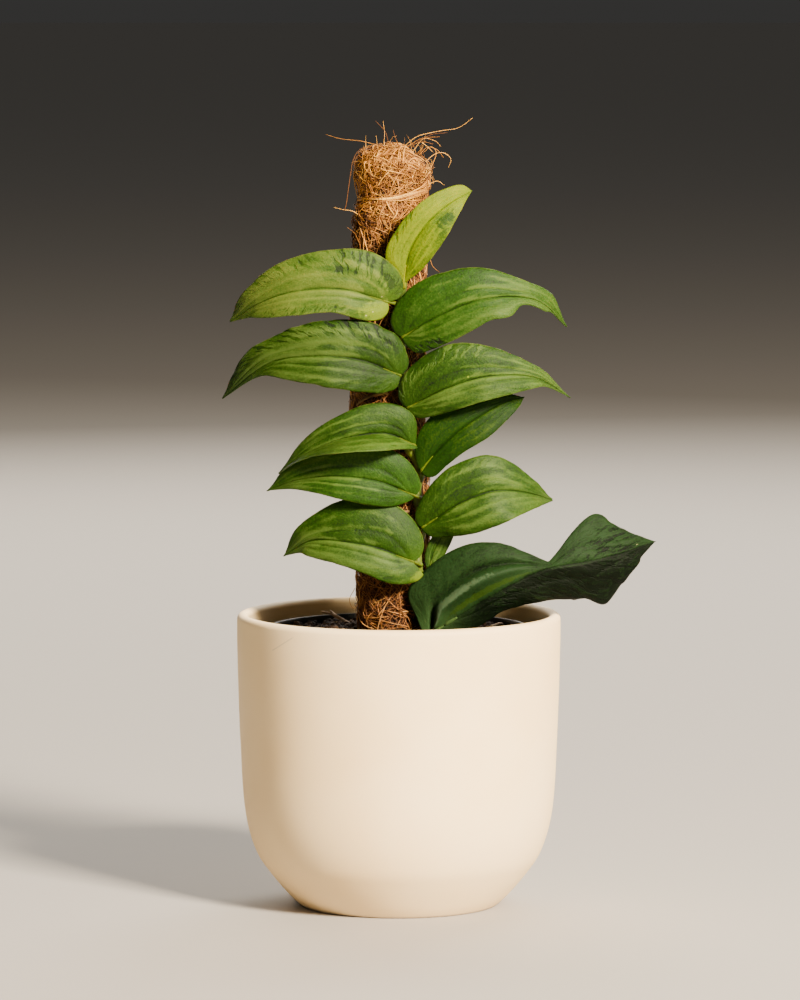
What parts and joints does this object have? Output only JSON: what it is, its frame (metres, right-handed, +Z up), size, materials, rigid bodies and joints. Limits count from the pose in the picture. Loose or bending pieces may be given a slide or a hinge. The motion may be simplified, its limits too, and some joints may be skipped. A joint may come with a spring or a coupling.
{
  "type": "potted rhaphidophora korthalsii",
  "caption": "Young shingle-leaved climbing aroid pressed flat to a coir moss pole, in a black nursery pot set inside a rounded cream ceramic cover pot.",
  "frame": {"origin": "middle of the cover pot's flat underside, on the surface that it stands on", "axes": "+Z up along the coir pole, -Y towards the side that the leaves face, +X to the right as seen from there"},
  "size_m": [0.1986, 0.148, 0.3474],
  "materials": {
    "cream_ceramic": "matte, fine-grained, unglazed cream",
    "black_plastic": "satin, faintly ribbed by the mould",
    "soil": "crumbly, dry",
    "stake_wood": "bare sawn wood",
    "coir": "matted coconut fibre",
    "coir_head": "matted coconut fibre, golden",
    "pale_strand": "bleached fibre strands",
    "stem_skin": "smooth, satin",
    "root_skin": "dry, matte",
    "aerial_root_skin": "dry, matte",
    "leaf_new": "satin, bright yellow-green",
    "leaf_pale": "satin, sage green",
    "leaf_mid": "satin, mid green",
    "leaf_dark": "dusty satin, very dark green",
    "bark": "weathered, dry"
  },
  "bodies": {
    "root": {"cover_pot": "cream_ceramic", "nursery_pot": "black_plastic", "potting_soil": "soil", "pole_stake": "stake_wood", "coir_pole": "coir", "coir_pole_head": "coir_head", "neck_strand": "pale_strand", "stem": "stem_skin", "soil_roots": "root_skin", "aerial_root_1": "aerial_root_skin", "aerial_root_2": "aerial_root_skin", "aerial_root_3": "aerial_root_skin", "aerial_root_4": "aerial_root_skin", "aerial_root_5": "aerial_root_skin", "leaf_newest": "leaf_new", "leaf_left_1": "leaf_pale", "leaf_left_2": "leaf_mid", "leaf_left_3": "leaf_mid", "leaf_left_4": "leaf_mid", "leaf_left_5": "leaf_mid", "leaf_right_1": "leaf_mid", "leaf_right_2": "leaf_mid", "leaf_right_3": "leaf_mid", "leaf_right_4": "leaf_mid", "leaf_small": "leaf_mid", "leaf_oldest": "leaf_dark", "bark_fork": "bark", "bark_chip_1": "bark", "bark_chip_2": "bark", "bark_chip_3": "bark"}
  },
  "joints": []
}
